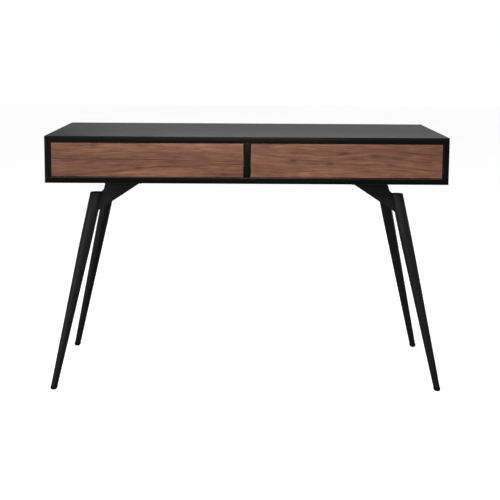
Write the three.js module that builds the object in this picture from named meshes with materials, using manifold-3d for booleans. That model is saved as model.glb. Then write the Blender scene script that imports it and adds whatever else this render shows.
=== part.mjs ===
// Writing desk: a low black case with two inset walnut drawers on four splayed, tapered steel legs.
// Units are millimetres. +Z is up, +X is to the right, -Y is the front where the drawers open.
// The origin is on the floor, under the middle of the case.
import * as THREE from "three";
import { mergeVertices } from "three/addons/utils/BufferGeometryUtils.js";
import Module from "manifold-3d";

// Case
const WIDTH = 1200;
const DEPTH = 550;
const HEIGHT = 780;
const CASE_HEIGHT = 140;
const PANEL = 18;
const BACK_PANEL = 12;

// Drawer
const FRONT_GAP = 2;
const FRONT_THICKNESS = 16;
const BOX_WALL = 12;
const BOX_LENGTH = 440;
const BOX_HEIGHT = 80;
const BOX_LIFT = 9; // from the case's floor to the box's lower edge
const BOTTOM_THICKNESS = 4;
const GROOVE_DEPTH = 6;
const GROOVE_LIFT = 8; // from the box's lower edge to its groove
const GROOVE_PLAY = 0.3;

// Ball-bearing slide
const SLIDE_THICKNESS = 12.7;
const SLIDE_LENGTH = 430;
const SLIDE_HEIGHT = 35;
const SLIDE_SHEET = 1.2;
const SLIDE_SETBACK = 3; // behind the drawer front's inner face
const MEMBER_STEP = 2.2; // height lost on each side from one member to the next one inside it
const CABINET_FLANGE = 9.5; // reach of each member's flanges, from the outside of its web
const MIDDLE_FLANGE = 8.5;
const DRAWER_FLANGE = 8.5;
const MIDDLE_STANDOFF = 2; // from the bay's wall to the middle member's web

// Leg
const LEG_TOP_Z = 605;
const LEG_RADIUS_TOP = 18.2;
const LEG_RADIUS_FOOT = 9.6;
const LEG_TAPER_Z = 460; // the tube is cylindrical above this height
const LEG_WALL = 2;
const LEG_FOOT_X = 588.8; // where the leg's axis meets the floor
const LEG_FOOT_Y = 252.4;
const LEAN_X = 0.2196; // sideways run of the axis per unit of height
const LEAN_Y = 0.0772; // forward run of the axis per unit of height
const PAD_HEIGHT = 12;
const PAD_LIP = 0.8; // how far the pad stands proud of the tube
const PAD_STEM = 18;

// Bracket
const GUSSET_THICKNESS = 8;
const GUSSET_OUTER_X = 423.5; // at the underside of the case
const GUSSET_INNER_X = 312;
const GUSSET_TOE_Z = 549; // where the slanting edge meets the leg
const GUSSET_FILLET = 18;
const GUSSET_TUCK = 10; // from the leg's top down to the gusset's hidden end on the leg's axis
const PLATE_THICKNESS = 4;
const PLATE_WIDTH = 64;
const PLATE_MARGIN = 6; // the plate's length beyond each end of the gusset's top edge
const WELD_GAP = 0.3; // left between pieces that are joined face to face

// Bracket screws
const SCREW_RADIUS = 2.5;
const SCREW_HOLE_RADIUS = 2.8;
const SCREW_HEAD_RADIUS = 5.5;
const SCREW_HEAD_HEIGHT = 3;
const SCREW_CROWN = 0.6; // radius of the head's flat middle, as a share of the head's radius
const SCREW_REACH = 11; // how far the shank goes into the bottom panel
const HOLE_SPARE = 1; // depth of the hole beyond the shank's end
const SCREW_SPACING_X = 92;
const SCREW_SPACING_Y = 44;

// Facets and tolerances
const LEG_SIDES = 32;
const HOLE_SIDES = 12;
const FILLET_STEPS = 6;
const MERGE_DISTANCE = 1e-3;
const OVERRUN = 1; // how far a cutting solid passes the face that it opens
const LEG_OVERRUN = 40; // length of the uncut leg beyond each end, so that level cuts meet it all round

// Derived levels and widths
const halfWidth = WIDTH / 2;
const halfDepth = DEPTH / 2;
const undersideZ = HEIGHT - CASE_HEIGHT;
const floorZ = undersideZ + PANEL;
const ceilingZ = HEIGHT - PANEL;
const bayWidth = halfWidth - PANEL - PANEL / 2;
const frontInnerY = -halfDepth + FRONT_THICKNESS;
const boxBottomZ = floorZ + BOX_LIFT;
const grooveZ = boxBottomZ + GROOVE_LIFT;
const slideZ = boxBottomZ + BOX_HEIGHT / 2;

const wasm = await Module();
wasm.setup();

const finishes = {
  case: { color: 0x1c1d1c, roughness: 0.5, metalness: 0 },
  walnut: { color: 0x7b5746, roughness: 0.55, metalness: 0 },
  drawerBox: { color: 0x8a8f90, roughness: 0.6, metalness: 0 },
  hardboard: { color: 0x7f8384, roughness: 0.7, metalness: 0 },
  slide: { color: 0xb4b7ba, roughness: 0.35, metalness: 0.9 },
  leg: { color: 0x202122, roughness: 0.55, metalness: 0.3 },
  pad: { color: 0x0e0e0f, roughness: 0.85, metalness: 0 },
  screw: { color: 0x26272a, roughness: 0.4, metalness: 0.8 },
};

function piece(name, geometry, finish) {
  const mesh = new THREE.Mesh(geometry, new THREE.MeshStandardMaterial(finishes[finish]));
  mesh.name = name;
  return mesh;
}

// ---- solid helpers ----

function toSolid(geometry) {
  const positions = geometry.getAttribute("position").clone();
  const bare = new THREE.BufferGeometry().setAttribute("position", positions);
  if (geometry.index) bare.setIndex(geometry.index.clone());
  const merged = mergeVertices(bare, MERGE_DISTANCE);
  return new wasm.Manifold(
    new wasm.Mesh({
      numProp: 3,
      vertProperties: merged.getAttribute("position").array,
      triVerts: new Uint32Array(merged.index.array),
    }),
  );
}

function toGeometry(solid) {
  const mesh = solid.getMesh();
  const geometry = new THREE.BufferGeometry();
  geometry.setAttribute("position", new THREE.BufferAttribute(new Float32Array(mesh.vertProperties), 3));
  geometry.setIndex(new THREE.BufferAttribute(new Uint32Array(mesh.triVerts), 1));
  geometry.computeVertexNormals();
  return geometry;
}

// A box given by its lowest and highest corners.
function block(low, high) {
  const size = high.map((value, axis) => value - low[axis]);
  const geometry = new THREE.BoxGeometry(...size);
  return geometry.translate(...low.map((value, axis) => value + size[axis] / 2));
}

// An outline of [x, z] points carried along Y from one depth to another.
function alongY(points, fromY, toY) {
  const shape = new THREE.Shape(points.map(([x, z]) => new THREE.Vector2(x, z)));
  const geometry = new THREE.ExtrudeGeometry(shape, { depth: toY - fromY, bevelEnabled: false });
  geometry.rotateX(Math.PI / 2);
  return geometry.translate(0, toY, 0);
}

// A round solid about Z, from [radius, z] points that start and end on the axis, bottom to top.
function turned(points, sides) {
  return new THREE.LatheGeometry(
    points.map(([radius, z]) => new THREE.Vector2(radius, z)),
    sides,
  ).rotateX(Math.PI / 2);
}

// ---- case ----

// The four outer panels meet in mitres, so each one is a trapezium seen from the front.
function makeCase() {
  const inner = halfWidth - PANEL;
  const top = alongY(
    [
      [-halfWidth, HEIGHT],
      [-inner, ceilingZ],
      [inner, ceilingZ],
      [halfWidth, HEIGHT],
    ],
    -halfDepth,
    halfDepth,
  );
  let bottom = toSolid(
    alongY(
      [
        [-halfWidth, undersideZ],
        [halfWidth, undersideZ],
        [inner, floorZ],
        [-inner, floorZ],
      ],
      -halfDepth,
      halfDepth,
    ),
  );
  for (const hole of bracketHoles()) bottom = bottom.subtract(hole);
  const side = (sign) =>
    alongY(
      [
        [sign * halfWidth, undersideZ],
        [sign * halfWidth, HEIGHT],
        [sign * inner, ceilingZ],
        [sign * inner, floorZ],
      ],
      -halfDepth,
      halfDepth,
    );
  const backY = halfDepth - BACK_PANEL;
  const divider = block([-PANEL / 2, -halfDepth, floorZ], [PANEL / 2, backY, ceilingZ]);
  return [
    piece("top_panel", top, "case"),
    piece("bottom_panel", toGeometry(bottom), "case"),
    piece("left_side_panel", side(-1), "case"),
    piece("right_side_panel", side(1), "case"),
    piece("centre_divider", divider, "case"),
    piece("back_panel", block([-inner, backY, floorZ], [inner, halfDepth, ceilingZ]), "case"),
  ];
}

// ---- drawers ----

// One drawer in the bay whose middle is at centreX: front, box sides, box back and bottom.
function makeDrawer(prefix, centreX) {
  const frontHalf = bayWidth / 2 - FRONT_GAP;
  const boxHalf = bayWidth / 2 - SLIDE_THICKNESS;
  const insideHalf = boxHalf - BOX_WALL;
  const backEndY = frontInnerY + BOX_LENGTH;
  const boxTopZ = boxBottomZ + BOX_HEIGHT;
  const grooveTopZ = grooveZ + BOTTOM_THICKNESS + 2 * GROOVE_PLAY;
  const bottomHalf = insideHalf + GROOVE_DEPTH - GROOVE_PLAY;

  const frontGroove = block(
    [centreX - insideHalf - GROOVE_DEPTH, frontInnerY - GROOVE_DEPTH, grooveZ],
    [centreX + insideHalf + GROOVE_DEPTH, frontInnerY + OVERRUN, grooveTopZ],
  );
  const front = toSolid(
    block(
      [centreX - frontHalf, -halfDepth, floorZ + FRONT_GAP],
      [centreX + frontHalf, frontInnerY, ceilingZ - FRONT_GAP],
    ),
  ).subtract(toSolid(frontGroove));

  const side = (sign) => {
    const outer = centreX + sign * boxHalf;
    const inner = centreX + sign * insideHalf;
    const groove = inner + sign * GROOVE_DEPTH;
    return alongY(
      [
        [outer, boxBottomZ],
        [outer, boxTopZ],
        [inner, boxTopZ],
        [inner, grooveTopZ],
        [groove, grooveTopZ],
        [groove, grooveZ],
        [inner, grooveZ],
        [inner, boxBottomZ],
      ],
      frontInnerY,
      backEndY,
    );
  };
  const back = block(
    [centreX - insideHalf, backEndY - BOX_WALL, grooveTopZ],
    [centreX + insideHalf, backEndY, boxTopZ],
  );
  const bottom = block(
    [centreX - bottomHalf, frontInnerY - GROOVE_DEPTH + GROOVE_PLAY, grooveZ + GROOVE_PLAY],
    [centreX + bottomHalf, backEndY, grooveZ + GROOVE_PLAY + BOTTOM_THICKNESS],
  );
  return [
    piece(prefix + "_drawer_front", toGeometry(front), "walnut"),
    piece(prefix + "_drawer_left_side", side(-1), "drawerBox"),
    piece(prefix + "_drawer_right_side", side(1), "drawerBox"),
    piece(prefix + "_drawer_back", back, "drawerBox"),
    piece(prefix + "_drawer_bottom", bottom, "hardboard"),
  ];
}

// A folded channel: its web stands at webX, and its two flanges reach to tipX.
function channel(webX, tipX, height, fromY, toY) {
  const inward = Math.sign(tipX - webX);
  const foldX = webX + inward * SLIDE_SHEET;
  const half = height / 2;
  const inside = half - SLIDE_SHEET;
  return alongY(
    [
      [webX, slideZ - half],
      [tipX, slideZ - half],
      [tipX, slideZ - inside],
      [foldX, slideZ - inside],
      [foldX, slideZ + inside],
      [tipX, slideZ + inside],
      [tipX, slideZ + half],
      [webX, slideZ + half],
    ],
    fromY,
    toY,
  );
}

// One slide between the bay's wall at wallX and the drawer box; sign points from the wall to the box.
function makeSlide(prefix, wallX, sign) {
  const startY = frontInnerY + SLIDE_SETBACK;
  const endY = startY + SLIDE_LENGTH;
  const boxX = wallX + sign * SLIDE_THICKNESS;
  const middleHeight = SLIDE_HEIGHT - 2 * MEMBER_STEP;
  const innerHeight = middleHeight - 2 * MEMBER_STEP;
  const middleX = wallX + sign * MIDDLE_STANDOFF;
  const cabinet = channel(wallX, wallX + sign * CABINET_FLANGE, SLIDE_HEIGHT, startY, endY);
  const middle = channel(middleX, middleX + sign * MIDDLE_FLANGE, middleHeight, startY, endY);
  const drawer = channel(boxX, boxX - sign * DRAWER_FLANGE, innerHeight, startY, endY);
  return [
    piece(prefix + "_cabinet_member", cabinet, "slide"),
    piece(prefix + "_middle_member", middle, "slide"),
    piece(prefix + "_drawer_member", drawer, "slide"),
  ];
}

// ---- legs ----

// The matrix that stands a round piece, made about Z, on the leg's leaning axis.
function leaning() {
  const axis = new THREE.Vector3(-LEAN_X, LEAN_Y, 1).normalize();
  const turn = new THREE.Quaternion().setFromUnitVectors(new THREE.Vector3(0, 0, 1), axis);
  return new THREE.Matrix4().compose(
    new THREE.Vector3(LEG_FOOT_X, -LEG_FOOT_Y, 0),
    turn,
    new THREE.Vector3(1, 1, 1),
  );
}

// A slab that covers a leg's whole footprint between two heights.
function slab(fromZ, toZ) {
  return toSolid(block([0, -2 * LEG_FOOT_Y, fromZ], [2 * LEG_FOOT_X, 0, toZ]));
}

// The leg's tapered outer or inner form, offset sideways from the tube's outer surface.
function taperedRod(offset) {
  const stretch = Math.hypot(LEAN_X, LEAN_Y, 1); // length along the axis per unit of height
  const slope = (LEG_RADIUS_TOP - LEG_RADIUS_FOOT) / (LEG_TAPER_Z * stretch);
  const rod = turned(
    [
      [0, -LEG_OVERRUN],
      [LEG_RADIUS_FOOT - slope * LEG_OVERRUN + offset, -LEG_OVERRUN],
      [LEG_RADIUS_TOP + offset, LEG_TAPER_Z * stretch],
      [LEG_RADIUS_TOP + offset, LEG_TOP_Z * stretch + LEG_OVERRUN],
      [0, LEG_TOP_Z * stretch + LEG_OVERRUN],
    ],
    LEG_SIDES,
  );
  return toSolid(rod.applyMatrix4(leaning()));
}

function makeLegTube() {
  const outer = taperedRod(0).intersect(slab(PAD_HEIGHT, LEG_TOP_Z));
  return outer.subtract(taperedRod(-LEG_WALL).intersect(slab(0, LEG_TOP_Z - LEG_WALL)));
}

// The foot pad: a tread below the tube and a stem that plugs its lower end.
function makePad() {
  const tread = taperedRod(PAD_LIP).intersect(slab(0, PAD_HEIGHT - WELD_GAP));
  const stem = taperedRod(-LEG_WALL - WELD_GAP).intersect(slab(PAD_HEIGHT / 2, PAD_HEIGHT + PAD_STEM));
  return tread.add(stem);
}

// The points of a circular arc, from one angle to another.
function arc(centreX, centreZ, radius, fromAngle, toAngle, steps) {
  return Array.from({ length: steps + 1 }, (_, step) => {
    const angle = fromAngle + ((toAngle - fromAngle) * step) / steps;
    return [centreX + radius * Math.cos(angle), centreZ + radius * Math.sin(angle)];
  });
}

// Where the bracket's middle plane, which leans with the leg, crosses a given height.
const planeY = (z) => -(LEG_FOOT_Y - LEAN_Y * z);

// The gusset's outline, in true lengths down the leaning plane measured from the underside of the case.
function gussetOutline() {
  const steep = Math.hypot(1, LEAN_Y);
  const down = (z) => (undersideZ - z) * steep;
  const axisX = (z) => LEG_FOOT_X - LEAN_X * z;
  const edgeX = (z) => GUSSET_OUTER_X + (undersideZ - z) * LEAN_X;
  const filletX = edgeX(LEG_TOP_Z) + GUSSET_FILLET;
  const filletZ = GUSSET_FILLET - down(LEG_TOP_Z);
  const fillet = arc(filletX, filletZ, GUSSET_FILLET, Math.PI, 1.5 * Math.PI, FILLET_STEPS);
  const toeX = axisX(GUSSET_TOE_Z) - LEG_RADIUS_TOP;
  const tuckZ = LEG_TOP_Z - GUSSET_TUCK;
  return [
    [GUSSET_INNER_X, 0],
    [GUSSET_OUTER_X, 0],
    ...fillet,
    [axisX(tuckZ), -down(tuckZ)],
    [axisX(GUSSET_TOE_Z), -down(GUSSET_TOE_Z)],
    [toeX, -down(GUSSET_TOE_Z)],
  ];
}

function makeBracket() {
  const gussetTopZ = undersideZ - PLATE_THICKNESS / 2;
  const gusset = alongY(gussetOutline(), -GUSSET_THICKNESS / 2, GUSSET_THICKNESS / 2);
  gusset.rotateX(Math.atan(-LEAN_Y));
  gusset.translate(0, planeY(undersideZ), undersideZ);
  const midY = planeY(undersideZ);
  const plate = block(
    [GUSSET_INNER_X - PLATE_MARGIN, midY - PLATE_WIDTH / 2, undersideZ - PLATE_THICKNESS],
    [GUSSET_OUTER_X + PLATE_MARGIN, midY + PLATE_WIDTH / 2, undersideZ],
  );
  let bracket = toSolid(gusset).intersect(slab(0, gussetTopZ)).add(toSolid(plate));
  bracket = bracket.subtract(taperedRod(WELD_GAP).intersect(slab(0, LEG_TOP_Z + WELD_GAP)));
  for (const [x, y] of screwPlaces()) bracket = bracket.subtract(screwHole(x, y));
  return bracket;
}

function screwPlaces() {
  const middleX = (GUSSET_INNER_X + GUSSET_OUTER_X) / 2;
  const middleY = planeY(undersideZ);
  const places = [];
  for (const stepX of [-SCREW_SPACING_X / 2, SCREW_SPACING_X / 2])
    for (const stepY of [-SCREW_SPACING_Y / 2, SCREW_SPACING_Y / 2])
      places.push([middleX + stepX, middleY + stepY]);
  return places;
}

function rod(radius, fromZ, toZ) {
  return turned(
    [
      [0, fromZ],
      [radius, fromZ],
      [radius, toZ],
      [0, toZ],
    ],
    HOLE_SIDES,
  );
}

function screwHole(x, y) {
  const endZ = undersideZ + SCREW_REACH + HOLE_SPARE;
  const hole = rod(SCREW_HOLE_RADIUS, undersideZ - PLATE_THICKNESS - OVERRUN, endZ);
  return toSolid(hole.translate(x, y, 0));
}

// The holes for all four brackets' screws in the bottom panel.
function bracketHoles() {
  const holes = [];
  for (const [x, y] of screwPlaces())
    for (const sideX of [-1, 1])
      for (const sideY of [-1, 1]) holes.push(screwHole(sideX * x, sideY * y));
  return holes;
}

function makeScrew() {
  const plateZ = undersideZ - PLATE_THICKNESS;
  return turned(
    [
      [0, plateZ - SCREW_HEAD_HEIGHT],
      [SCREW_HEAD_RADIUS * SCREW_CROWN, plateZ - SCREW_HEAD_HEIGHT],
      [SCREW_HEAD_RADIUS, plateZ - SCREW_HEAD_HEIGHT / 2],
      [SCREW_HEAD_RADIUS, plateZ],
      [SCREW_RADIUS, plateZ],
      [SCREW_RADIUS, undersideZ + SCREW_REACH],
      [0, undersideZ + SCREW_REACH],
    ],
    HOLE_SIDES,
  );
}

// One leg with its bracket, pad and screws, built for the front right corner and mirrored to its own.
function makeLeg(prefix, sideX, sideY) {
  const corner = new THREE.Group();
  corner.scale.set(sideX, sideY, 1);
  corner.add(
    piece(prefix + "_leg", toGeometry(makeLegTube()), "leg"),
    piece(prefix + "_foot_pad", toGeometry(makePad()), "pad"),
    piece(prefix + "_bracket", toGeometry(makeBracket()), "leg"),
  );
  screwPlaces().forEach(([x, y], index) => {
    const screw = piece(prefix + "_bracket_screw_" + (index + 1), makeScrew(), "screw");
    screw.position.set(x, y, 0);
    corner.add(screw);
  });
  return corner;
}

// ---- desk ----

const desk = new THREE.Group();
desk.name = "writing_desk";
desk.add(...makeCase());

for (const [prefix, sign] of [
  ["left", -1],
  ["right", 1],
]) {
  const centreX = sign * (PANEL / 2 + bayWidth / 2);
  const drawer = new THREE.Group();
  drawer.add(...makeDrawer(prefix, centreX));
  drawer.add(...makeSlide(prefix + "_drawer_left_slide", centreX - bayWidth / 2, 1));
  drawer.add(...makeSlide(prefix + "_drawer_right_slide", centreX + bayWidth / 2, -1));
  desk.add(drawer);
}

desk.add(makeLeg("front_right", 1, 1));
desk.add(makeLeg("front_left", -1, 1));
desk.add(makeLeg("back_right", 1, -1));
desk.add(makeLeg("back_left", -1, -1));

export default desk;
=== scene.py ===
"""The looks of the writing desk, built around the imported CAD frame. Lengths are in metres."""

import math

import bmesh
import bpy
from mathutils import Matrix, Vector


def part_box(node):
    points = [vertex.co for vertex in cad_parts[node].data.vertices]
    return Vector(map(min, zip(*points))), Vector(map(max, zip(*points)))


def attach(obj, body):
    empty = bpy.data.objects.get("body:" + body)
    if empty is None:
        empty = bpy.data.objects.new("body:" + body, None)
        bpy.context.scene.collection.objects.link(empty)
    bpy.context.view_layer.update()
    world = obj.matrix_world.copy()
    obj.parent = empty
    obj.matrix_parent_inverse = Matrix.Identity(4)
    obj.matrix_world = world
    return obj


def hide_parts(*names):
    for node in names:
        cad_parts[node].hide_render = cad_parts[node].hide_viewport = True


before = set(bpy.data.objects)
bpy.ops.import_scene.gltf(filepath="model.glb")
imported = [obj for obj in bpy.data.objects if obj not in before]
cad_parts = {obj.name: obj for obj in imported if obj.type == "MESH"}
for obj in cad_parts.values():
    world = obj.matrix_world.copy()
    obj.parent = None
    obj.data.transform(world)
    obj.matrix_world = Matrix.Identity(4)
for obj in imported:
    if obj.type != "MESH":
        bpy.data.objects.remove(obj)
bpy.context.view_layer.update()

SIDES = {"left": -1, "right": 1}
CORNERS = {
    "front_left": (-1, -1),
    "front_right": (1, -1),
    "back_left": (-1, 1),
    "back_right": (1, 1),
}

# Angles, in degrees between two faces
SMOOTH_ANGLE = 35  # an edge is shaded smooth up to this angle
BOARD_CREASE = 30  # an edge of a board is rounded above this angle
BRACKET_CREASE = 50  # and an edge of a bracket above this one
FLAT_ANGLE = 1  # two faces are one flat face up to this angle
QUARTER_TURN = math.pi / 2  # this one in radians

# Tolerances
MERGE_DISTANCE = 1e-6  # between two vertices that are one
CUT_TOLERANCE = 1e-7  # between a vertex and the plane of a cut that it lies on
LEVEL_TOLERANCE = 1e-5  # between a vertex and the height at which a leg is measured

# Rounding of edges
ROUND_STEPS = 3  # faces across a rounded edge
CASE_ROUND = 0.0010
FRONT_ROUND = 0.0009
BOARD_ROUND = 0.0006
STEEL_ROUND = 0.0008
SEAM = 0.0001  # half the hairline between two mitred panels

# Painted highlight on the case's rounded edges, from 0 to 1, and the mesh attribute that holds it
PAINTED_HIGHLIGHT = "wear_and_highlight"
SILL_HIGHLIGHT = 1.0  # full painted highlight on the edge that the drawers pass over
EDGE_HIGHLIGHT = 0.2  # faint painted highlight on every other edge

# Leg
LEG_TAPER_Z = 0.460  # the tube is straight above this height, as in the CAD model
LEG_WALL = 0.002
LEG_SEGMENTS = 64
LEG_LEVELS = (0.12, 0.24, 0.36)  # heights of the rings between the tube's foot and its taper's end
TAPER_BLEND = 0.02  # half the length over which the taper turns into the straight part
TOP_ROUND = 0.0012
FOOT_ROUND = 0.0006
PAD_GAP = 0.0002  # between the pad and the tube
PAD_LIP = 0.0009  # how far the foot pad stands proud of the tube
PAD_ROUND = 0.0075
PAD_SHOULDER_ROUND = 0.0008
RIM_STEPS = 4  # faces across a rounded rim

# Bracket of the front right leg, from the same driving dimensions as the CAD model
GUSSET_THICKNESS = 0.008
GUSSET_OUTER_X = 0.4235  # the two ends of its top edge
GUSSET_INNER_X = 0.312
GUSSET_TOE_Z = 0.549  # where its slanted edge meets the leg
GUSSET_FILLET = 0.018  # radius of the hollow corner between its outer edge and the leg's top
GUSSET_FILLET_STEPS = 8
GUSSET_TUCK = 0.006  # from the leg's top down to the gusset's hidden end on the leg's axis
GUSSET_TOE_LIFT = 0.004  # how much higher the gusset's hidden lower end is than its toe
PLATE_THICKNESS = 0.004
PLATE_MARGIN = 0.006  # from the gusset's outer end to the plate's
PLATE_CORNER = 0.008
PLATE_CORNER_STEPS = 6

# Weld beads
WELD_RADIUS = 0.0022
WELD_PITCH = 0.0032  # length of one ripple
WELD_RIPPLE = 0.12  # height of a ripple as a share of the bead's radius
WELD_TAPER = (0.35, 0.8, 1)  # share of the full radius at an end, one step in, and further in
WELD_STEP = 0.0008  # between two loops of a bead
WELD_SIDES = 10
LEG_WELD_DROP = 0.002  # from the leg's top down to its weld
PLATE_WELD_INNER = 0.010  # from the gusset's inner end to its weld on the plate
PLATE_WELD_OUTER = 0.004  # from its outer end to that weld

# Bracket screws
SCREWS = 4  # in each bracket
SCREW_SEGMENTS = 36
SCREW_HEAD_HEIGHT = 0.003
SCREW_CROWN = 0.52  # radius of the head's flat middle, as a share of the head's radius
SCREW_DOME_STEPS = 5
SCREW_NECK = 0.4  # radius of the head's hidden end, as a share of the head's radius
SCREW_SINK = 0.0008  # how far that end stands in the plate
SOCKET_HALF = 0.0018  # half the socket's width across its flats
SOCKET_DEPTH = 0.0018
SOCKET_EDGE = 0.0002  # depth of the chamfer round the socket
SOCKET_FLARE = 1.08  # the chamfer's width at the head's face, as a share of the socket's

# Drawer slide
SHEET = 0.0012
FOLD_RADIUS = 0.0022
FOLD_STEPS = 5
SLOT_RADIUS = 0.0032
SLOT_STEPS = 8
WEB_SLOTS = [  # (place as a share of a middle member's length, length of the slot's straight part)
    (0.05, 0.004),
    (0.17, 0.014),
    (0.36, 0.004),
    (0.52, 0.014),
    (0.71, 0.004),
    (0.88, 0.014),
]
CUTTER_DEPTH = 4  # the slots' cutter is this many times as deep as the member
PAN_SEGMENTS = 24
PAN_SCREWS = (0.09, 0.36, 0.66, 0.92)  # shares of a drawer member's length
PAN_PROFILE = [  # (radius, rise) of a screw's head from its rim to its recess
    (0.0040, 0.0000),
    (0.0040, 0.0006),
    (0.0035, 0.0014),
    (0.0024, 0.0019),
    (0.0015, 0.0020),
    (0.0010, 0.0012),
    (0.0004, 0.0009),
]

# Foil on the drawers' boxes and bottoms: dark colour, light colour, and threads in a metre
BOX_FOIL = ((0.15, 0.16, 0.165), (0.22, 0.235, 0.24), 900)
BOTTOM_FOIL = ((0.13, 0.14, 0.145), (0.19, 0.20, 0.205), 700)
THREAD_STRETCH = 0.06  # how often the weave changes along a thread, as a share of across it

# Walnut grain: scale along X, Y and Z, detail, roughness, and how much of the tone it moves
GRAIN = {
    "bands": ((2.6, 2, 17), 2.0, 0.5, 0.5),
    "lines": ((6, 5, 160), 3.0, 0.6, 0.42),
    "streaks": ((13, 9, 360), 3.0, 0.65, 0.8),
    "fibres": ((22, 60, 1300), 2.0, 0.6, 0.35),
}
PORES = ((60, 200, 2200), 1.0, 0.5)  # scale, detail and roughness
PORE_TONE = 0.07  # how much darker a pore is
MOTTLE_TONE = 0.4
GRAIN_WANDER = 0.055  # how far the grain strays up and down in all, in slow bends
GRAIN_RIPPLE = 0.011  # and in quick ones
TEXTURE_SEED = 11
SEED_STEP = 4  # the left front's seed is this much lower, and the right one's this much higher

KNOT_STRETCH = 2.2  # a knot's reach along the grain, as a multiple of its reach across
KNOT_BEND = 0.7  # how far the grain bends round a knot
KNOT_CORE = 1.6  # how quickly a knot's dark core fades out

# Knots in each drawer front: place along and up the front as shares of its size, then reach
KNOTS = {
    "left": [(0.22, 0.92, 0.011), (0.76, 0.84, 0.010), (0.90, 0.08, 0.010), (0.45, 0.26, 0.009)],
    "right": [
        (0.22, 0.50, 0.010),
        (0.48, 0.72, 0.017),
        (0.65, 0.64, 0.016),
        (0.73, 0.38, 0.010),
        (0.41, 0.40, 0.010),
    ],
}

# Dark veins: height at the left end and at the right end, bow between them, and half thickness
VEINS = {
    "left": [(0.04, 0.42, 0.02, 0.0065), (0.62, 0.50, -0.05, 0.0045)],
    "right": [(0.66, 0.24, -0.06, 0.006), (0.92, 0.70, 0.05, 0.004)],
}

# Brightness of the studio from straight below (0) over the horizon (0.5) to straight above (1)
SKY = [(0.0, 0.02), (0.485, 0.02), (0.5, 0.27), (0.56, 0.25), (0.75, 0.35), (1.0, 0.5)]

# Lights: place, the point that each one faces, width and height, and power in watts
LIGHTS = {
    "key": ((0, -1.05, 1.35), (0, -0.25, 0.70), (0.5, 0.4), 9),
    "overhead": ((0, -0.8, 3.2), (0, 0, 0.55), (3.0, 2.0), 40),
    "left": ((-2.7, -2.6, 0.42), (0, 0, 0.3), (1.6, 0.7), 17),
    "back": ((0.3, 2.8, 2.6), (0, 0, 0.5), (3.0, 1.2), 21),
    "rear_left": ((-2.4, 2.4, 0.42), (0, 0, 0.5), (1.6, 0.7), 16),
    "rear_right": ((2.4, 2.4, 0.42), (0, 0, 0.5), (1.6, 0.7), 16),
}
FLOOR_SIZE = 30
FLOOR_GLOW = 0.62

# Camera: angles in degrees, sensor and lens in millimetres, and shift as a share of the sensor
CAMERA_PLACE = (-0.0153, -3.6133, 1.0644)
CAMERA_PITCH = 7.8
CAMERA_YAW = 0.422
CAMERA_ROLL = 0.373
SENSOR_WIDTH = 36
LENS = 81.53
LENS_SHIFT = -0.11


# ---- small helpers ----


def mesh_object(name, bm, material, body, slot, *nodes):
    """Turns a bmesh into a finished piece, which rides on a body and stands for the nodes named."""
    mesh = bpy.data.meshes.new(name)
    bm.normal_update()
    bm.to_mesh(mesh)
    bm.free()
    for polygon in mesh.polygons:
        polygon.use_smooth = True
    mesh.set_sharp_from_angle(angle=math.radians(SMOOTH_ANGLE))
    piece = bpy.data.objects.new(name, mesh)
    bpy.context.scene.collection.objects.link(piece)
    mesh.materials.append(material)
    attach(piece, body)
    if nodes:
        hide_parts(*nodes)
    return piece


def bevel_edges(bm, edges, offset):
    """Rounds edges over and returns the new faces."""
    return bmesh.ops.bevel(
        bm,
        geom=list(edges),
        offset=offset,
        offset_type="OFFSET",
        segments=ROUND_STEPS,
        profile=0.5,
        affect="EDGES",
        clamp_overlap=True,
    )["faces"]


def sharp_edges(bm, crease):
    limit = math.radians(crease)
    return [e for e in bm.edges if len(e.link_faces) == 2 and e.calc_face_angle(0) > limit]


def board_from(node):
    """A clean bmesh of a CAD node: vertices merged, and flat faces whole again."""
    bm = bmesh.new()
    bm.from_mesh(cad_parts[node].data)
    bmesh.ops.remove_doubles(bm, verts=bm.verts, dist=MERGE_DISTANCE)
    flat = math.radians(FLAT_ANGLE)
    bmesh.ops.dissolve_limit(bm, angle_limit=flat, verts=bm.verts, edges=bm.edges)
    return bm


def rounded_board(node, material, body, slot, offset):
    """A CAD board with its sharp edges rounded over."""
    bm = board_from(node)
    bevel_edges(bm, sharp_edges(bm, BOARD_CREASE), offset)
    mesh_object("visual_" + node, bm, material, body, slot, node)


def extruded(outline, depth):
    """A bmesh of an outline of points, carried from minus half to plus half of a vector."""
    bm = bmesh.new()
    half = Vector(depth) / 2
    face = bm.faces.new([bm.verts.new(Vector(p) - half) for p in outline])
    grown = bmesh.ops.extrude_face_region(bm, geom=[face])
    verts = [v for v in grown["geom"] if isinstance(v, bmesh.types.BMVert)]
    bmesh.ops.translate(bm, verts=verts, vec=2 * half)
    bmesh.ops.recalc_face_normals(bm, faces=bm.faces)
    return bm


def arc_angles(start, turn, steps):
    """Angles in equal steps from a start through a turn, both ends included."""
    return [start + turn * step / steps for step in range(steps + 1)]


def circle_angles(count):
    return [2 * math.pi * i / count for i in range(count)]


def skin(bm, loops):
    """Adds a closed solid through loops of points, which all have the same number of points."""
    rings = [[bm.verts.new(point) for point in loop] for loop in loops]
    for lower, upper in zip(rings, rings[1:]):
        for i in range(len(lower)):
            j = (i + 1) % len(lower)
            bm.faces.new([lower[i], lower[j], upper[j], upper[i]])
    bm.faces.new(rings[0][::-1])
    bm.faces.new(rings[-1])


def skinned(*solids):
    """A bmesh of solids, each given by its loops of points."""
    bm = bmesh.new()
    for loops in solids:
        skin(bm, loops)
    bmesh.ops.recalc_face_normals(bm, faces=bm.faces)
    return bm


def mirrored(bm, side_x, side_y):
    """Moves a bmesh built for the front right corner to its own corner."""
    for vert in bm.verts:
        vert.co.x *= side_x
        vert.co.y *= -side_y
    if side_x * side_y > 0:
        bmesh.ops.reverse_faces(bm, faces=bm.faces)
    return bm


# ---- materials ----


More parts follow.
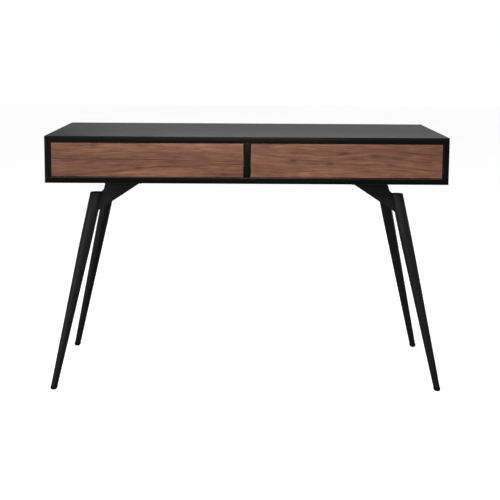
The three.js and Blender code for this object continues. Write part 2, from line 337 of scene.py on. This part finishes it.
class Nodes:
    """Short calls that add nodes to a node tree."""

    def __init__(self, tree):
        self.tree = tree

    def add(self, kind, inputs=None, **attributes):
        node = self.tree.nodes.new(kind)
        for key, value in attributes.items():
            setattr(node, key, value)
        for socket, value in (inputs or {}).items():
            if isinstance(value, bpy.types.NodeSocket):
                self.tree.links.new(value, node.inputs[socket])
            else:
                node.inputs[socket].default_value = value
        return node

    def math(self, operation, first, second=0.0):
        return self.add("ShaderNodeMath", {0: first, 1: second}, operation=operation).outputs[0]

    def spread(self, value, source, target, curve="LINEAR"):
        """Maps a value from one (low, high) range to another, and keeps it inside."""
        inputs = {0: value, 1: source[0], 2: source[1], 3: target[0], 4: target[1]}
        return self.add("ShaderNodeMapRange", inputs, interpolation_type=curve).outputs[0]

    def ramp(self, value, stops):
        node = self.add("ShaderNodeValToRGB", {"Fac": value})
        while len(node.color_ramp.elements) < len(stops):
            node.color_ramp.elements.new(0.5)
        for element, (position, colour) in zip(node.color_ramp.elements, stops):
            element.position = position
            element.color = (*colour, 1)
        return node.outputs["Color"]

    def mix(self, factor, first, second):
        inputs = {"Factor": factor, "A": first, "B": second}
        return self.add("ShaderNodeMix", inputs, data_type="RGBA").outputs["Result"]


class Surface(Nodes):
    """A procedural material, with short calls for its nodes."""

    def __init__(self, name, **values):
        self.material = bpy.data.materials.new(name)
        self.material.use_nodes = True
        super().__init__(self.material.node_tree)
        self.shader = self.tree.nodes["Principled BSDF"]
        for socket, value in values.items():
            self.shader.inputs[socket.replace("_", " ")].default_value = value
        self.place = self.add("ShaderNodeTexCoord").outputs["Object"]

    def stretched(self, scale, offset=(0, 0, 0), vector=None):
        """Coordinates scaled along X, Y and Z, which a pattern of scale 1 is then read at."""
        inputs = {"Vector": vector or self.place, "Scale": scale, "Location": offset}
        return self.add("ShaderNodeMapping", inputs).outputs[0]

    def noise(self, vector, scale=1.0, detail=2.0, roughness=0.55):
        inputs = {"Vector": vector, "Scale": scale, "Detail": detail, "Roughness": roughness}
        return self.add("ShaderNodeTexNoise", inputs).outputs["Fac"]

    def bump(self, height, distance, normal=None):
        """A normal that follows a height, which covers a distance in metres."""
        inputs = {"Height": height, "Distance": distance, "Strength": 1.0}
        if normal:
            inputs["Normal"] = normal
        return self.add("ShaderNodeBump", inputs).outputs["Normal"]

    def use(self, socket, output):
        """Links an output to the shader."""
        self.tree.links.new(output, self.shader.inputs[socket])


def satin_black():
    """Black satin lacquer on board: faint orange peel, slow changes of sheen, and rounded edges
    painted paler as a highlight.
    """
    s = Surface("satin_black", Specular_IOR_Level=0.15)
    cloud = s.noise(s.place, scale=5.0, detail=4.0)
    stops = [(0.3, (0.0014, 0.0016, 0.0012)), (0.7, (0.0021, 0.0023, 0.0018))]
    lacquer = s.ramp(cloud, stops)
    # The rounded edges are mixed unevenly towards a paler colour: a painted highlight
    patches = s.noise(s.stretched((0.3, 1, 1)), scale=60.0, detail=4.0)
    highlight_patches = s.spread(patches, (0.35, 0.65), (0.5, 1.0))
    edge_highlight = s.add("ShaderNodeAttribute", attribute_name=PAINTED_HIGHLIGHT).outputs["Fac"]
    highlight_amount = s.math("MULTIPLY", edge_highlight, highlight_patches)
    s.use("Base Color", s.mix(highlight_amount, lacquer, (0.075, 0.071, 0.060, 1)))
    grain = s.noise(s.stretched((1, 6, 6)), scale=90.0, detail=5.0, roughness=0.6)
    fine = s.noise(s.place, scale=1400.0)
    s.use("Roughness", s.spread(s.math("ADD", cloud, grain), (0.6, 1.4), (0.40, 0.48)))
    s.use("Normal", s.bump(fine, 0.00003, s.bump(grain, 0.00006)))
    return s.material


def powder_black():
    """Fine-grained black powder coat on steel."""
    s = Surface("powder_black", Specular_IOR_Level=0.38)
    cloud = s.noise(s.place, scale=14.0, detail=3.0)
    stops = [(0.3, (0.0042, 0.0042, 0.0042)), (0.7, (0.0062, 0.0062, 0.0062))]
    s.use("Base Color", s.ramp(cloud, stops))
    pebbles = s.noise(s.place, scale=1500.0, detail=2.5, roughness=0.6)
    s.use("Roughness", s.spread(pebbles, (0.3, 0.7), (0.44, 0.56)))
    s.use("Normal", s.bump(pebbles, 0.00008))
    return s.material


def rubber():
    """Matte black rubber with a little dust."""
    s = Surface("foot_rubber", Specular_IOR_Level=0.2)
    dust = s.noise(s.place, scale=220.0, detail=5.0, roughness=0.7)
    stops = [(0.35, (0.0025, 0.0025, 0.0025)), (0.75, (0.0070, 0.0068, 0.0065))]
    s.use("Base Color", s.ramp(dust, stops))
    s.use("Roughness", s.spread(dust, (0.3, 0.7), (0.72, 0.9)))
    s.use("Normal", s.bump(s.noise(s.place, scale=2600.0), 0.00005))
    return s.material


def zinc():
    """Zinc-plated sheet steel with drawing marks along its length and faint spangles."""
    s = Surface("zinc_steel", Metallic=0.6, Anisotropic=0.4)
    marks = s.noise(s.stretched((900, 12, 900)), detail=3.0, roughness=0.6)
    spangle = s.noise(s.place, scale=160.0)
    tone = s.math("ADD", s.math("MULTIPLY", marks, 0.6), s.math("MULTIPLY", spangle, 0.4))
    s.use("Base Color", s.ramp(tone, [(0.3, (0.42, 0.43, 0.44)), (0.7, (0.62, 0.63, 0.64))]))
    s.use("Roughness", s.spread(tone, (0.3, 0.7), (0.42, 0.26)))
    s.use("Normal", s.bump(marks, 0.00002))
    return s.material


def black_screw():
    """Black oxide on steel, rubbed a little by handling."""
    s = Surface("screw_black_oxide", Metallic=0.85)
    wear_and_highlight = s.noise(s.place, scale=900.0, detail=4.0, roughness=0.65)
    s.use("Base Color", s.ramp(wear_and_highlight, [(0.35, (0.018, 0.018, 0.02)), (0.8, (0.06, 0.06, 0.064))]))
    s.use("Roughness", s.spread(wear_and_highlight, (0.3, 0.7), (0.34, 0.5)))
    s.use("Normal", s.bump(wear_and_highlight, 0.00003))
    return s.material


def linen_foil(name, dark, light, threads):
    """Printed foil with a fine woven texture, as drawer boxes are covered with."""
    s = Surface(name, Specular_IOR_Level=0.4)
    along = threads * THREAD_STRETCH
    warp = s.noise(s.stretched((threads, along, threads)))
    weft = s.noise(s.stretched((along, threads, along), (4, 1, 2)))
    weave = s.math("ADD", s.math("MULTIPLY", warp, 0.5), s.math("MULTIPLY", weft, 0.5))
    s.use("Base Color", s.ramp(weave, [(0.35, dark), (0.65, light)]))
    s.use("Roughness", s.spread(weave, (0.3, 0.7), (0.6, 0.46)))
    s.use("Normal", s.bump(weave, 0.00005))
    return s.material


def closeness(s, distance, reach):
    """1 at no distance, falling smoothly to 0 at a reach."""
    return s.spread(distance, (0.0, reach), (1.0, 0.0), "SMOOTHSTEP")


def near_knot(s, x, z, knot, low, size):
    """How strongly a point lies in a knot, from 0 to 1, and its height above the knot's middle."""
    along, up, reach = knot
    across = s.math("SUBTRACT", x, low.x + along * size.x)
    rise = s.math("SUBTRACT", z, low.z + up * size.z)

    def squared(value, unit):
        return s.math("POWER", s.math("DIVIDE", s.math("ABSOLUTE", value), unit), 2.0)

    both = s.math("ADD", squared(across, reach * KNOT_STRETCH), squared(rise, reach))
    distance = s.math("SQRT", both)
    return closeness(s, distance, 1.0), rise


def near_vein(s, x, height, vein, low, size):
    """How strongly a point lies in a dark vein that runs from end to end of the front."""
    left, right, bow, thickness = vein
    share = s.math("DIVIDE", s.math("SUBTRACT", x, low.x), size.x)
    arch = s.math("MULTIPLY", s.math("SINE", s.math("MULTIPLY", share, math.pi)), bow)
    course = s.math("ADD", s.math("MULTIPLY", share, right - left), arch)
    level = s.math("ADD", s.math("MULTIPLY", course, size.z), low.z + left * size.z)
    gap = s.math("ABSOLUTE", s.math("SUBTRACT", height, level))
    return closeness(s, gap, thickness)


def walnut(side, box):
    """Walnut veneer with its grain along X: bands, growth lines, veins, small knots and pores."""
    s = Surface("walnut_" + side, Specular_IOR_Level=0.22)
    seed = TEXTURE_SEED + SEED_STEP * SIDES[side]
    low, high = box
    size = high - low
    axes = s.add("ShaderNodeSeparateXYZ", {0: s.place}).outputs
    x, z = axes["X"], axes["Z"]

    def centred(value, amount):
        return s.math("MULTIPLY", s.math("SUBTRACT", value, 0.5), amount)

    def grain(scale, detail, roughness):
        place = s.stretched(scale, (seed, 3, 1.7 * seed), warped)
        return s.noise(place, detail=detail, roughness=roughness)

    slow = s.noise(s.stretched((1.6, 1, 5), (seed, seed, 0)), roughness=0.5)
    quick = s.noise(s.stretched((9, 1, 22), (0, seed, seed)), roughness=0.5)
    stray = s.math("ADD", centred(slow, GRAIN_WANDER), centred(quick, GRAIN_RIPPLE))
    height = s.math("ADD", z, stray)
    cores = None
    for knot in KNOTS[side]:
        inside, rise = near_knot(s, x, z, knot, low, size)
        bend = s.math("MULTIPLY", s.math("MULTIPLY", rise, inside), KNOT_BEND)
        height = s.math("SUBTRACT", height, bend)
        cores = inside if cores is None else s.math("ADD", cores, inside)
    warped = s.add("ShaderNodeCombineXYZ", {0: x, 1: axes["Y"], 2: height}).outputs[0]

    layers = {}
    tone = 0.5
    for layer, (scale, detail, roughness, amount) in GRAIN.items():
        layers[layer] = grain(scale, detail, roughness)
        tone = s.math("ADD", tone, centred(layers[layer], amount))
    mottle = s.noise(s.stretched((26, 10, 60), (seed, 0, 4)), detail=3.0, roughness=0.6)
    tone = s.math("ADD", tone, centred(mottle, MOTTLE_TONE))
    patchy = s.spread(mottle, (0.35, 0.62), (0.05, 0.22))
    for vein in VEINS[side]:
        inside = near_vein(s, x, height, vein, low, size)
        tone = s.math("SUBTRACT", tone, s.math("MULTIPLY", inside, patchy))
    core_depth = s.spread(mottle, (0.3, 0.7), (0.12, 0.30))
    core = s.math("POWER", cores, KNOT_CORE)
    tone = s.math("SUBTRACT", tone, s.math("MULTIPLY", core, core_depth))
    pits = s.spread(grain(*PORES), (0.60, 0.70), (0.0, 1.0))
    tone = s.math("SUBTRACT", tone, s.math("MULTIPLY", pits, PORE_TONE))
    stops = [
        (0.15, (0.061, 0.024, 0.013)),
        (0.38, (0.110, 0.045, 0.0255)),
        (0.52, (0.146, 0.062, 0.035)),
        (0.66, (0.185, 0.083, 0.046)),
        (0.85, (0.251, 0.123, 0.071)),
    ]
    s.use("Base Color", s.ramp(tone, stops))
    s.use("Roughness", s.spread(tone, (0.2, 0.8), (0.62, 0.5)))
    relief = s.math("SUBTRACT", s.math("MULTIPLY", layers["fibres"], 0.5), pits)
    s.use("Normal", s.bump(relief, 0.00006))
    return s.material


# ---- case ----


def case_ring():
    """The four mitred panels as one ring with rounded edges, before it is cut apart."""
    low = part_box("bottom_panel")[0]
    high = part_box("top_panel")[1]
    inner_low, inner_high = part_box("back_panel")
    bm = bmesh.new()
    loops = []
    for y in (low.y, high.y):
        outer = [(low.x, low.z), (high.x, low.z), (high.x, high.z), (low.x, high.z)]
        inner = [
            (inner_low.x, inner_low.z),
            (inner_high.x, inner_low.z),
            (inner_high.x, inner_high.z),
            (inner_low.x, inner_high.z),
        ]
        loops.append([[bm.verts.new((x, y, z)) for x, z in points] for points in (outer, inner)])
    (front_outer, front_inner), (back_outer, back_inner) = loops
    rounded = []
    for i in range(4):
        j = (i + 1) % 4
        bm.faces.new([front_outer[i], front_outer[j], front_inner[j], front_inner[i]])
        bm.faces.new([back_outer[j], back_outer[i], back_inner[i], back_inner[j]])
        bm.faces.new([front_outer[j], front_outer[i], back_outer[i], back_outer[j]])
        bm.faces.new([front_inner[i], front_inner[j], back_inner[j], back_inner[i]])
        rounded += [(front_outer[i], front_outer[j]), (back_outer[i], back_outer[j])]
        rounded += [(front_inner[i], front_inner[j]), (back_inner[i], back_inner[j])]
        rounded.append((front_outer[i], back_outer[i]))
    bmesh.ops.recalc_face_normals(bm, faces=bm.faces)
    # Rounded faces get a painted highlight: full on the sill under the drawers, faint on the other
    # edges
    wear_and_highlight = bm.faces.layers.float.new(PAINTED_HIGHLIGHT)
    for face in bevel_edges(bm, [bm.edges.get(pair) for pair in rounded], CASE_ROUND):
        centre = face.calc_center_median()
        on_sill = centre.y < low.y + CASE_ROUND and abs(centre.z - inner_low.z) < CASE_ROUND
        face[wear_and_highlight] = SILL_HIGHLIGHT if on_sill else EDGE_HIGHLIGHT
    return bm


def cut_away(bm, point, normal):
    """Removes what lies on the normal's side of a plane, and closes the cut."""
    geometry = bm.verts[:] + bm.edges[:] + bm.faces[:]
    cut = bmesh.ops.bisect_plane(
        bm, geom=geometry, plane_co=point, plane_no=normal, clear_outer=True, dist=CUT_TOLERANCE
    )
    edges = [e for e in cut["geom_cut"] if isinstance(e, bmesh.types.BMEdge)]
    if edges:
        bmesh.ops.holes_fill(bm, edges=edges, sides=0)


def make_case(black):
    """The four outer panels, each cut out of the ring, and the two boards inside them."""
    inner_low, inner_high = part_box("back_panel")
    middle = (inner_low + inner_high) / 2
    half = (inner_high - inner_low) / 2
    panels = {
        "top_panel": (0, 1),
        "bottom_panel": (0, -1),
        "left_side_panel": (-1, 0),
        "right_side_panel": (1, 0),
    }
    for node, (out_x, out_z) in panels.items():
        bm = case_ring()
        outward = Vector((out_x, 0, out_z))
        across = Vector((abs(out_z), 0, abs(out_x)))
        cut_away(bm, middle, -outward)
        for sign in (-1, 1):
            direction = sign * across
            way = outward + direction
            corner = middle + Vector((half.x * way.x, 0, half.z * way.z))
            normal = (direction - outward).normalized()
            cut_away(bm, corner - normal * SEAM, normal)
        mesh_object("visual_" + node, bm, black, "desk", "case", node)
    for node in ("centre_divider", "back_panel"):
        rounded_board(node, black, "desk", "case", FRONT_ROUND)


# ---- drawers ----


def channel(name, web_x, tip_x, low, high, material, body, node):
    """A folded sheet channel along Y: a web at one X and two flanges that reach to another."""
    inward = math.copysign(1, tip_x - web_x)
    outer, inner = [], []
    for z_edge, z_sign in ((low.z, 1), (high.z, -1)):
        centre_x = web_x + inward * FOLD_RADIUS
        centre_z = z_edge + z_sign * FOLD_RADIUS
        arc_out, arc_in = [], []
        for angle in arc_angles(0, QUARTER_TURN, FOLD_STEPS):
            for radius, arc in ((FOLD_RADIUS, arc_out), (FOLD_RADIUS - SHEET, arc_in)):
                x = centre_x - inward * radius * math.sin(angle)
                z = centre_z - z_sign * radius * math.cos(angle)
                arc.append((x, z))
        outer.append([(tip_x, z_edge)] + arc_out)
        inner.append([(tip_x, z_edge + z_sign * SHEET)] + arc_in)
    outline = outer[0] + outer[1][::-1] + inner[1] + inner[0][::-1]
    middle_y = (low.y + high.y) / 2
    bm = extruded([(x, middle_y, z) for x, z in outline], (0, high.y - low.y, 0))
    return mesh_object(name, bm, material, body, "slide_steel", node)


def slot_outline(x, y, z, length):
    """A slot in the YZ plane with round ends, whose ends' middles are a length apart along Y."""
    points = []
    for start in (-QUARTER_TURN, QUARTER_TURN):
        middle = y + math.copysign(length / 2, -start)
        for angle in arc_angles(start, math.pi, SLOT_STEPS):
            along, up = SLOT_RADIUS * math.cos(angle), SLOT_RADIUS * math.sin(angle)
            points.append((x, middle + along, z + up))
    return points


def make_web_slots(piece, low, high):
    """Cuts the slots that lighten a middle member's web, in a row along it."""
    middle = (low + high) / 2
    whole = bmesh.new()
    depth = (CUTTER_DEPTH * (high.x - low.x), 0, 0)
    for share, length in WEB_SLOTS:
        y = low.y + share * (high.y - low.y)
        part = bpy.data.meshes.new("cutter")
        bm = extruded(slot_outline(middle.x, y, middle.z, length), depth)
        bm.to_mesh(part)
        bm.free()
        whole.from_mesh(part)
    mesh = bpy.data.meshes.new("cutter")
    whole.to_mesh(mesh)
    whole.free()
    cutter = bpy.data.objects.new("cutter", mesh)
    bpy.context.scene.collection.objects.link(cutter)
    modifier = piece.modifiers.new("slots", "BOOLEAN")
    modifier.operation = "DIFFERENCE"
    modifier.solver = "EXACT"
    modifier.object = cutter
    evaluated = piece.evaluated_get(bpy.context.evaluated_depsgraph_get())
    piece.data = bpy.data.meshes.new_from_object(evaluated)
    piece.modifiers.clear()
    bpy.data.objects.remove(cutter)
    piece.data.set_sharp_from_angle(angle=math.radians(SMOOTH_ANGLE))


def make_pan_screws(name, low, high, web_x, outward, material, body):
    """Pan-head screws that hold a drawer member to the drawer's side, as one piece."""
    z = (low.z + high.z) / 2
    heads = []
    for share in PAN_SCREWS:
        y = low.y + share * (high.y - low.y)
        loops = []
        for radius, rise in PAN_PROFILE:
            x = web_x + outward * (SHEET + rise)
            turn = circle_angles(PAN_SEGMENTS)
            loops.append([(x, y + radius * math.cos(a), z + radius * math.sin(a)) for a in turn])
        heads.append(loops)
    mesh_object(name, skinned(*heads), material, body, "slide_steel")


def make_slide(side, hand, zinc_plate):
    """A slide's three members: the drawer's has its web on the drawer, the others on the case."""
    prefix = f"{side}_drawer_{hand}_slide_"
    bodies = {
        "cabinet_member": "desk",
        "middle_member": f"{side}_drawer_{hand}_middle_member",
        "drawer_member": f"{side}_drawer",
    }
    for member, body in bodies.items():
        node = prefix + member
        low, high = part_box(node)
        web_x, tip_x = low.x, high.x
        if (hand == "left") == (member == "drawer_member"):
            web_x, tip_x = tip_x, web_x
        piece = channel("visual_" + node, web_x, tip_x, low, high, zinc_plate, body, node)
        if member == "middle_member":
            make_web_slots(piece, low, high)
        if member == "drawer_member":
            outward = math.copysign(1, tip_x - web_x)
            make_pan_screws(prefix + "screws", low, high, web_x, outward, zinc_plate, body)


def make_drawer(side, materials):
    """A drawer's front, box and slides."""
    body = side + "_drawer"
    front = body + "_front"
    rounded_board(front, walnut(side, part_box(front)), body, "walnut", FRONT_ROUND)
    for part in ("_left_side", "_right_side", "_back"):
        rounded_board(body + part, materials["foil"], body, "drawer_box", BOARD_ROUND)
    rounded_board(body + "_bottom", materials["base_foil"], body, "drawer_bottom", BOARD_ROUND / 2)
    for hand in SIDES:
        make_slide(side, hand, materials["zinc"])


# ---- legs ----


def section_of(node, z):
    """The middle and half sizes of a CAD node's outline at one height."""
    places = [vert.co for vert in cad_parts[node].data.vertices]
    level = [place for place in places if abs(place.z - z) < LEVEL_TOLERANCE]
    low = Vector((min(c.x for c in level), min(c.y for c in level), z))
    high = Vector((max(c.x for c in level), max(c.y for c in level), z))
    return (low + high) / 2, (high - low) / 2


class Leg:
    """The front right leg's leaning axis and radii, and its gusset's plane, from the CAD model."""

    def __init__(self):
        low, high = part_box("front_right_leg")
        self.foot_z, self.top_z = low.z, high.z
        foot, foot_half = section_of("front_right_leg", low.z)
        top, top_half = section_of("front_right_leg", high.z)
        self.axis = (top - foot).normalized()
        self.origin = foot - self.axis * (foot.z / self.axis.z)
        self.lean_x = self.axis.x / self.axis.z
        lean_y = self.axis.y / self.axis.z
        self.gusset_normal = Vector((0, 1, -lean_y)).normalized()
        stretch = math.hypot(1, self.lean_x)
        self.foot_radius, self.top_radius = foot_half.x / stretch, top_half.x / stretch
        self.across = self.axis.cross(Vector((1, 0, 0))).normalized()
        self.inward = self.across.cross(self.axis).normalized()

    def radius(self, z):
        """The tube's radius at a height."""
        share = (z - self.foot_z) / (LEG_TAPER_Z - self.foot_z)
        return self.foot_radius + min(1, share) * (self.top_radius - self.foot_radius)

    def centre(self, z):
        """The point of the axis at a height."""
        return self.origin + self.axis * (z / self.axis.z)

    def point(self, angle, radius, z):
        """The point of the leg's surface at an angle round its axis, at a radius and a height."""
        out = radius * (math.cos(angle) * self.inward + math.sin(angle) * self.across)
        return self.origin + out + self.axis * ((z - out.z) / self.axis.z)


def round_solid(leg, profile):
    """A closed solid about the leg's axis, from (radius, height) pairs, bottom to top."""
    turn = circle_angles(LEG_SEGMENTS)
    return skinned([[leg.point(angle, radius, z) for angle in turn] for radius, z in profile])


def rim(radius, z, rounding, up):
    """(radius, height) pairs, bottom to top, of a rounded rim that faces up (1) or down (-1)."""
    pairs = []
    for angle in arc_angles(0, QUARTER_TURN, RIM_STEPS):
        inset = rounding * (1 - math.cos(angle))
        drop = rounding * (1 - math.sin(angle))
        pairs.append((radius - inset, z - up * drop))
    return pairs[::up]


def make_leg_tube(leg):
    """The tapered tube, cut level at both ends."""
    foot = leg.foot_z
    profile = rim(leg.radius(foot), foot, FOOT_ROUND, -1)
    profile += [(leg.radius(z), z) for z in (*LEG_LEVELS, LEG_TAPER_Z - TAPER_BLEND)]
    profile += [(leg.top_radius, LEG_TAPER_Z + TAPER_BLEND)]
    profile += rim(leg.top_radius, leg.top_z, TOP_ROUND, 1)
    return round_solid(leg, profile)


def make_foot_pad(leg):
    """The pad that the tube stands on, which is a little wider and has a round lower edge."""
    shoulder = leg.foot_z - PAD_GAP
    profile = rim(leg.radius(0) + PAD_LIP, 0, PAD_ROUND, -1)
    profile += rim(leg.radius(shoulder) + PAD_LIP, shoulder, PAD_SHOULDER_ROUND, 1)
    profile += [(leg.radius(shoulder) - LEG_WALL, shoulder)]
    return round_solid(leg, profile)


# ---- brackets ----


def gusset_outline(leg, underside):
    """The gusset's outline on its middle plane, which leans with the leg."""

    def on_plane(x, z):
        return Vector((x, leg.centre(z).y, z))

    points = [on_plane(GUSSET_INNER_X, underside), on_plane(GUSSET_OUTER_X, underside)]
    outer_x = GUSSET_OUTER_X - (underside - leg.top_z) * leg.lean_x
    for angle in arc_angles(0, QUARTER_TURN, GUSSET_FILLET_STEPS):
        x = outer_x + GUSSET_FILLET * (1 - math.cos(angle))
        z = leg.top_z + GUSSET_FILLET * (1 - math.sin(angle))
        points.append(on_plane(x, z))
    tuck_z = leg.top_z - GUSSET_TUCK
    toe_x = leg.centre(GUSSET_TOE_Z).x
    points.append(on_plane(leg.centre(tuck_z).x, tuck_z))
    points.append(on_plane(toe_x, GUSSET_TOE_Z + GUSSET_TOE_LIFT))
    points.append(on_plane(toe_x - leg.top_radius, GUSSET_TOE_Z))
    return points


def make_gusset(leg, underside):
    """The triangular plate that joins the leg to its mounting plate."""
    bm = extruded(gusset_outline(leg, underside), leg.gusset_normal * GUSSET_THICKNESS)
    bevel_edges(bm, sharp_edges(bm, BRACKET_CREASE), STEEL_ROUND)
    return bm


def make_plate():
    """The mounting plate under the case, with rounded corners."""
    low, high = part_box("front_right_bracket")
    low_x, high_x = low.x + PLATE_CORNER, GUSSET_OUTER_X + PLATE_MARGIN - PLATE_CORNER
    low_y, high_y = low.y + PLATE_CORNER, high.y - PLATE_CORNER
    middle_z = high.z - PLATE_THICKNESS / 2
    corners = [(low_x, low_y), (high_x, low_y), (high_x, high_y), (low_x, high_y)]
    points = []
    for i, (x, y) in enumerate(corners):
        for angle in arc_angles((2 + i) * QUARTER_TURN, QUARTER_TURN, PLATE_CORNER_STEPS):
            across, along = PLATE_CORNER * math.cos(angle), PLATE_CORNER * math.sin(angle)
            points.append((x + across, y + along, middle_z))
    bm = extruded(points, (0, 0, PLATE_THICKNESS))
    bevel_edges(bm, sharp_edges(bm, BRACKET_CREASE), STEEL_ROUND / 2)
    return bm


def straight(start, end):
    """Points in even steps along a line."""
    count = max(2, round((end - start).length / WELD_STEP))
    return [start.lerp(end, i / count) for i in range(count + 1)]


def weld_paths(leg, underside):
    """Where the gusset meets the leg and the mounting plate, on each of its two faces."""
    paths = {}
    half = GUSSET_THICKNESS / 2
    inset = Vector((-math.sqrt(leg.top_radius**2 - half**2), 0, 0))
    plate_z = underside - PLATE_THICKNESS
    plate_y = leg.centre(plate_z).y
    for word, sign in (("front", -1), ("rear", 1)):
        face = leg.gusset_normal * (sign * half)
        levels = (GUSSET_TOE_Z + GUSSET_TOE_LIFT, leg.top_z - LEG_WELD_DROP)
        paths["leg_weld_" + word] = straight(*(leg.centre(z) + inset + face for z in levels))
        ends = (GUSSET_INNER_X + PLATE_WELD_INNER, GUSSET_OUTER_X - PLATE_WELD_OUTER)
        path = straight(*(Vector((x, plate_y, plate_z)) + face for x in ends))
        paths["plate_weld_" + word] = path
    return paths


def bead(path):
    """A weld bead: a rippled round string along a path of points."""
    loops = []
    length = 0.0
    last = len(path) - 1
    for i, centre in enumerate(path):
        if i:
            length += (centre - path[i - 1]).length
        direction = (path[min(i + 1, last)] - path[max(i - 1, 0)]).normalized()
        first = direction.orthogonal().normalized()
        second = direction.cross(first)
        ripple = 1 + WELD_RIPPLE * math.sin(2 * math.pi * length / WELD_PITCH)
        radius = WELD_RADIUS * ripple * WELD_TAPER[min(i, last - i, 2)]
        turn = circle_angles(WELD_SIDES)
        loops.append([centre + radius * (math.cos(a) * first + math.sin(a) * second) for a in turn])
    return skinned(loops)


def make_screw(node, material):
    """A button-head screw with a hexagon socket."""
    low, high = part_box(node)
    centre = (low + high) / 2
    head_radius = (high.x - low.x) / 2
    seat = low.z + SCREW_HEAD_HEIGHT
    turn = circle_angles(SCREW_SEGMENTS)

    def loop(radii, z):
        points = []
        for angle, radius in zip(turn, radii):
            x = centre.x + radius * math.cos(angle)
            y = centre.y + radius * math.sin(angle)
            points.append((x, y, z))
        return points

    profile = [(SCREW_NECK, seat + SCREW_SINK)]
    for angle in arc_angles(0, QUARTER_TURN, SCREW_DOME_STEPS):
        share = SCREW_CROWN + (1 - SCREW_CROWN) * math.cos(angle)
        profile.append((share, seat - SCREW_HEAD_HEIGHT * math.sin(angle)))
    hexagon = [SOCKET_HALF / math.cos(a % (math.pi / 3) - math.pi / 6) for a in turn]
    loops = [loop([head_radius * share] * SCREW_SEGMENTS, z) for share, z in profile]
    loops.append(loop([SOCKET_FLARE * radius for radius in hexagon], low.z))
    loops.append(loop(hexagon, low.z + SOCKET_EDGE))
    loops.append(loop(hexagon, low.z + SOCKET_DEPTH))
    mesh_object("visual_" + node, skinned(loops), material, "desk", "screw", node)


def make_corner(prefix, leg, materials):
    """A corner's leg, foot pad, bracket, welds and screws."""
    side_x, side_y = CORNERS[prefix]
    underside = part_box("bottom_panel")[0].z

    def add(name, bm, material, slot, *nodes):
        bm = mirrored(bm, side_x, side_y)
        mesh_object(f"{prefix}_{name}", bm, material, "desk", slot, *nodes)

    add("leg_tube", make_leg_tube(leg), materials["powder"], "leg_steel", prefix + "_leg")
    add("rubber_foot", make_foot_pad(leg), materials["rubber"], "foot_pad", prefix + "_foot_pad")
    bracket = prefix + "_bracket"
    add("gusset", make_gusset(leg, underside), materials["powder"], "leg_steel", bracket)
    add("mounting_plate", make_plate(), materials["powder"], "leg_steel", bracket)
    for name, path in weld_paths(leg, underside).items():
        add(name, bead(path), materials["powder"], "leg_steel")
    for index in range(SCREWS):
        make_screw(f"{bracket}_screw_{index + 1}", materials["screw"])


# ---- floor, light and camera ----


def make_floor():
    """A plain pale floor, which glows a little so that it renders nearly white."""
    bpy.ops.mesh.primitive_plane_add(size=FLOOR_SIZE, location=(0, 0, 0))
    floor = bpy.context.object
    floor.name = "floor"
    s = Surface(
        "pale_floor",
        Specular_IOR_Level=0.2,
        Roughness=0.9,
        Emission_Color=(1, 1, 1, 1),
        Emission_Strength=FLOOR_GLOW,
    )
    patches = s.noise(s.place, scale=0.8, detail=3.0)
    s.use("Base Color", s.ramp(patches, [(0.3, (0.86, 0.86, 0.86)), (0.7, (0.9, 0.9, 0.9))]))
    floor.data.materials.append(s.material)
    floor.visible_glossy = False


def area_light(name, place, target, size, power):
    """A rectangular lamp at a place, turned to face a point."""
    data = bpy.data.lights.new(name, "AREA")
    data.shape = "RECTANGLE"
    data.size, data.size_y = size
    data.energy = power
    light = bpy.data.objects.new(name, data)
    light.location = place
    light.rotation_euler = (Vector(target) - Vector(place)).to_track_quat("-Z", "Y").to_euler()
    bpy.context.scene.collection.objects.link(light)


def make_world():
    """A studio that looks white, and lights the desk mostly from above its horizon."""
    world = bpy.data.worlds.new("studio")
    world.use_nodes = True
    nodes = Nodes(world.node_tree)
    place = nodes.add("ShaderNodeTexCoord").outputs["Generated"]
    height = nodes.add("ShaderNodeSeparateXYZ", {0: place}).outputs["Z"]
    share = nodes.spread(height, (-1.0, 1.0), (0.0, 1.0))
    glow = nodes.ramp(share, [(position, (level, level, level)) for position, level in SKY])
    seen = nodes.add("ShaderNodeLightPath").outputs["Is Camera Ray"]
    background = world.node_tree.nodes["Background"]
    nodes.tree.links.new(nodes.mix(seen, glow, (1, 1, 1, 1)), background.inputs["Color"])
    bpy.context.scene.world = world


def make_light():
    """The studio's lamps and background, shown with no film curve."""
    make_world()
    bpy.context.scene.view_settings.view_transform = "Standard"
    for name, settings in LIGHTS.items():
        area_light(name, *settings)


def make_camera():
    """The camera, turned from the level by its yaw, its pitch and a small roll."""
    data = bpy.data.cameras.new("camera")
    data.sensor_width = SENSOR_WIDTH
    data.lens = LENS
    data.shift_y = LENS_SHIFT
    camera = bpy.data.objects.new("camera", data)
    pan = Matrix.Rotation(-math.radians(CAMERA_YAW), 4, "Z")
    tilt = Matrix.Rotation(QUARTER_TURN - math.radians(CAMERA_PITCH), 4, "X")
    roll = Matrix.Rotation(math.radians(CAMERA_ROLL), 4, "Z")
    camera.matrix_world = Matrix.Translation(CAMERA_PLACE) @ pan @ tilt @ roll
    bpy.context.scene.collection.objects.link(camera)
    bpy.context.scene.camera = camera


# ---- the desk ----

make_camera()
make_light()
make_floor()

materials = {
    "black": satin_black(),
    "powder": powder_black(),
    "rubber": rubber(),
    "zinc": zinc(),
    "screw": black_screw(),
    "foil": linen_foil("drawer_foil", *BOX_FOIL),
    "base_foil": linen_foil("drawer_bottom_foil", *BOTTOM_FOIL),
}
make_case(materials["black"])
for side in SIDES:
    make_drawer(side, materials)
leg = Leg()
for prefix in CORNERS:
    make_corner(prefix, leg, materials)

bpy.context.view_layer.update()
